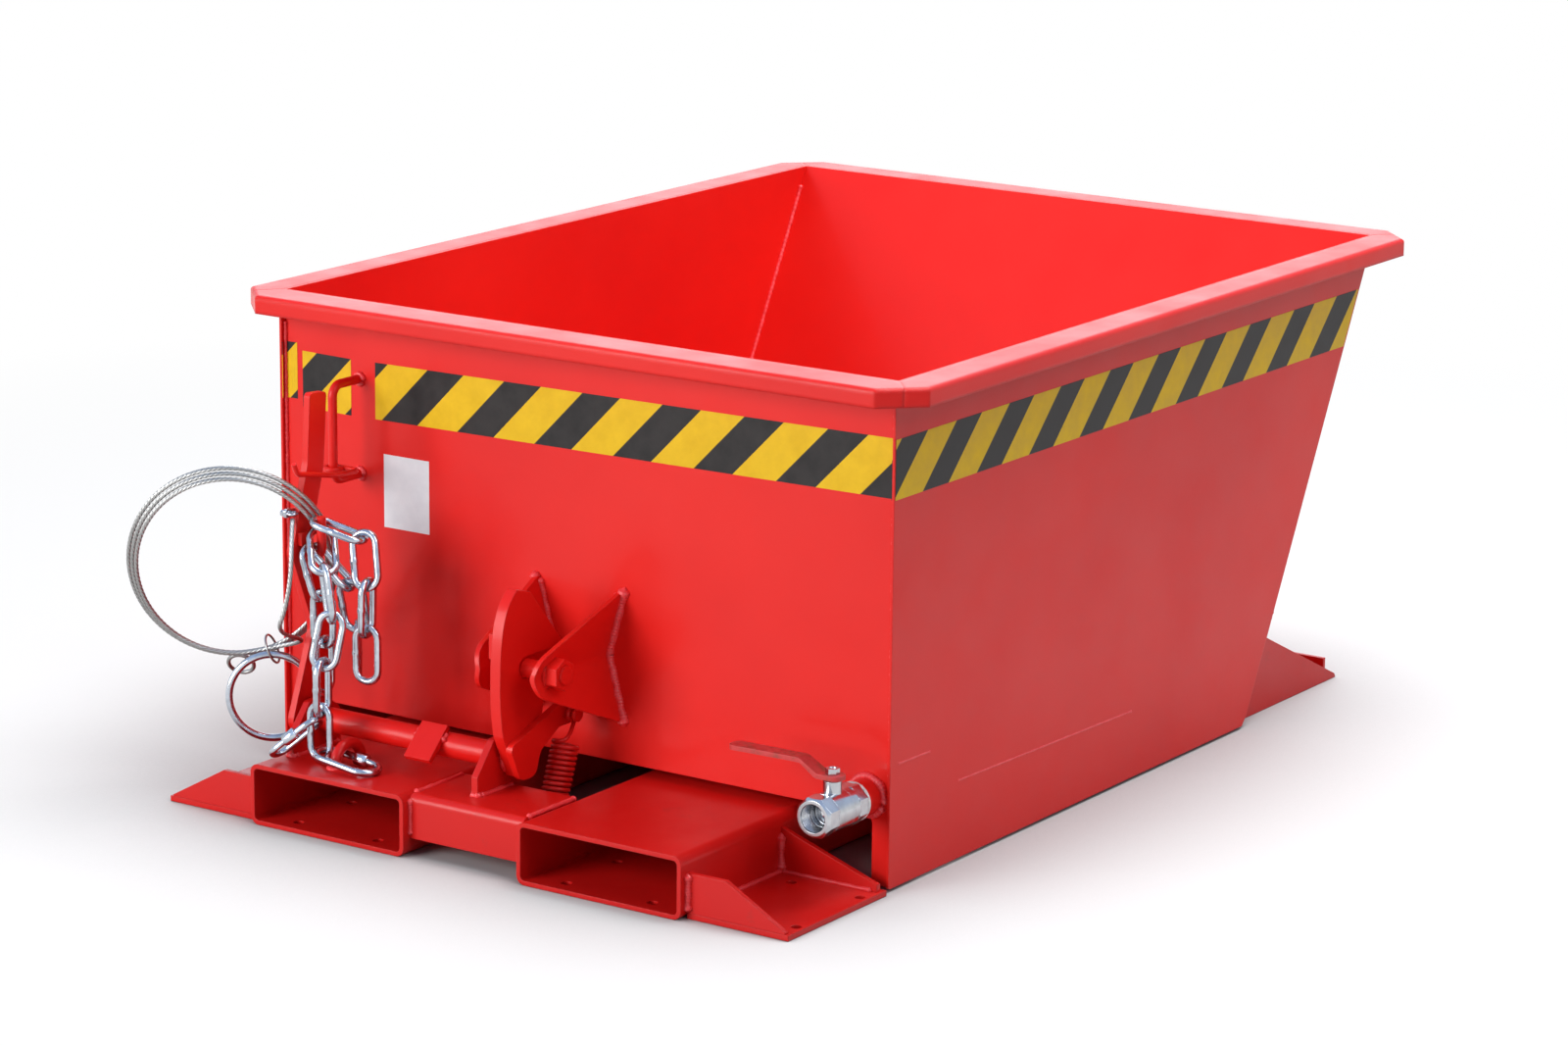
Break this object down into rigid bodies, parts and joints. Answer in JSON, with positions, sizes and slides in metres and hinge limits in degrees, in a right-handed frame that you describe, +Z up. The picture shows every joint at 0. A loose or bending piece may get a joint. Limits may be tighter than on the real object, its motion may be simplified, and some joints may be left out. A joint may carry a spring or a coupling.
{
  "type": "tipping skip trolley",
  "caption": "Open-top sheet-steel tipping skip on a fork-pocket base, with release lever, sprung latch, chain, pull rope and drain valve.",
  "frame": {"origin": "on the floor under the middle of the part, measured without the rope", "axes": "+X right along the fork entry side, +Y from the fork entry side to the pouring end, +Z up"},
  "size_m": [0.8862, 1.2912, 0.534],
  "materials": {
    "red_paint": "satin",
    "zinc_steel": "zinc plated",
    "bare_steel": "drawn",
    "spring_steel": "zinc plated",
    "wire_rope": "stranded",
    "plated_brass": "satin nickel",
    "handle_red": "satin",
    "white_seal": "matt"
  },
  "bodies": {
    "base_frame": {"right_fork_pocket": "red_paint", "left_fork_pocket": "red_paint", "front_cross_angle": "red_paint", "right_front_castor_plate": "red_paint", "left_front_castor_plate": "red_paint", "castor_gussets": "red_paint", "right_rear_castor_plate": "red_paint", "left_rear_castor_plate": "red_paint", "rear_cross_tubes": "red_paint", "rear_cross_bar": "red_paint", "right_tipping_bracket": "red_paint", "left_tipping_bracket": "red_paint", "right_hinge_pin": "bare_steel", "left_hinge_pin": "bare_steel", "left_shaft_bearing": "red_paint", "right_shaft_bearing": "red_paint", "chain_eye": "red_paint", "spring_anchor": "red_paint", "return_spring": "spring_steel", "chain_end": "zinc_steel"},
    "container": {"right_side_plate": "red_paint", "left_side_plate": "red_paint", "front_wall": "red_paint", "sloping_wall": "red_paint", "floor_plate": "red_paint", "floor_bearers": "red_paint", "front_rim": "red_paint", "rear_rim": "red_paint", "right_rim": "red_paint", "left_rim": "red_paint", "right_latch_ear": "red_paint", "left_latch_ear": "red_paint", "right_catch_stud": "bare_steel", "left_catch_stud": "bare_steel", "catch_nut": "zinc_steel", "lever_guide": "red_paint", "right_hinge_lug": "red_paint", "left_hinge_lug": "red_paint", "drain_socket": "red_paint", "valve_seal": "white_seal", "valve_body": "plated_brass", "valve_end": "plated_brass"},
    "release_gear": {"release_shaft": "bare_steel", "release_lever": "red_paint", "latch_plate": "red_paint", "latch_tooth": "red_paint", "spring_arm": "red_paint", "spring_pin": "bare_steel", "foot_pedal": "red_paint", "chain_hook": "red_paint", "hung_chain": "zinc_steel", "rope_clip": "zinc_steel", "rope_strand": "wire_rope", "rope_coil": "wire_rope", "rope_fittings": "zinc_steel", "pull_ring": "zinc_steel"},
    "valve_lever": {"valve_ball": "plated_brass", "valve_handle": "handle_red", "valve_nut": "plated_brass"},
    "lever_hook": {"safety_hook": "zinc_steel"}
  },
  "joints": [
    {"name": "container_tip", "type": "hinge", "parent": "base_frame", "child": "container", "pos_m": [0, 0.37654, 0.075], "axis": [-1, 0, 0], "range_deg": [0, 80]},
    {"name": "release_pull", "type": "hinge", "parent": "base_frame", "child": "release_gear", "pos_m": [-0.104, -0.53725, 0.098], "axis": [1, 0, 0], "range_deg": [-10, 20], "stiffness_Nm_per_rad": 40, "deforming": ["return_spring"]},
    {"name": "valve_turn", "type": "hinge", "parent": "container", "child": "valve_lever", "pos_m": [0.369, -0.493, 0.0975], "axis": [0, 0, 1], "range_deg": [0, 90]},
    {"name": "hook_swing", "type": "hinge", "parent": "container", "child": "lever_hook", "pos_m": [-0.294, -0.47325, 0.357], "axis": [0, 0, 1], "range_deg": [0, 80]}
  ]
}
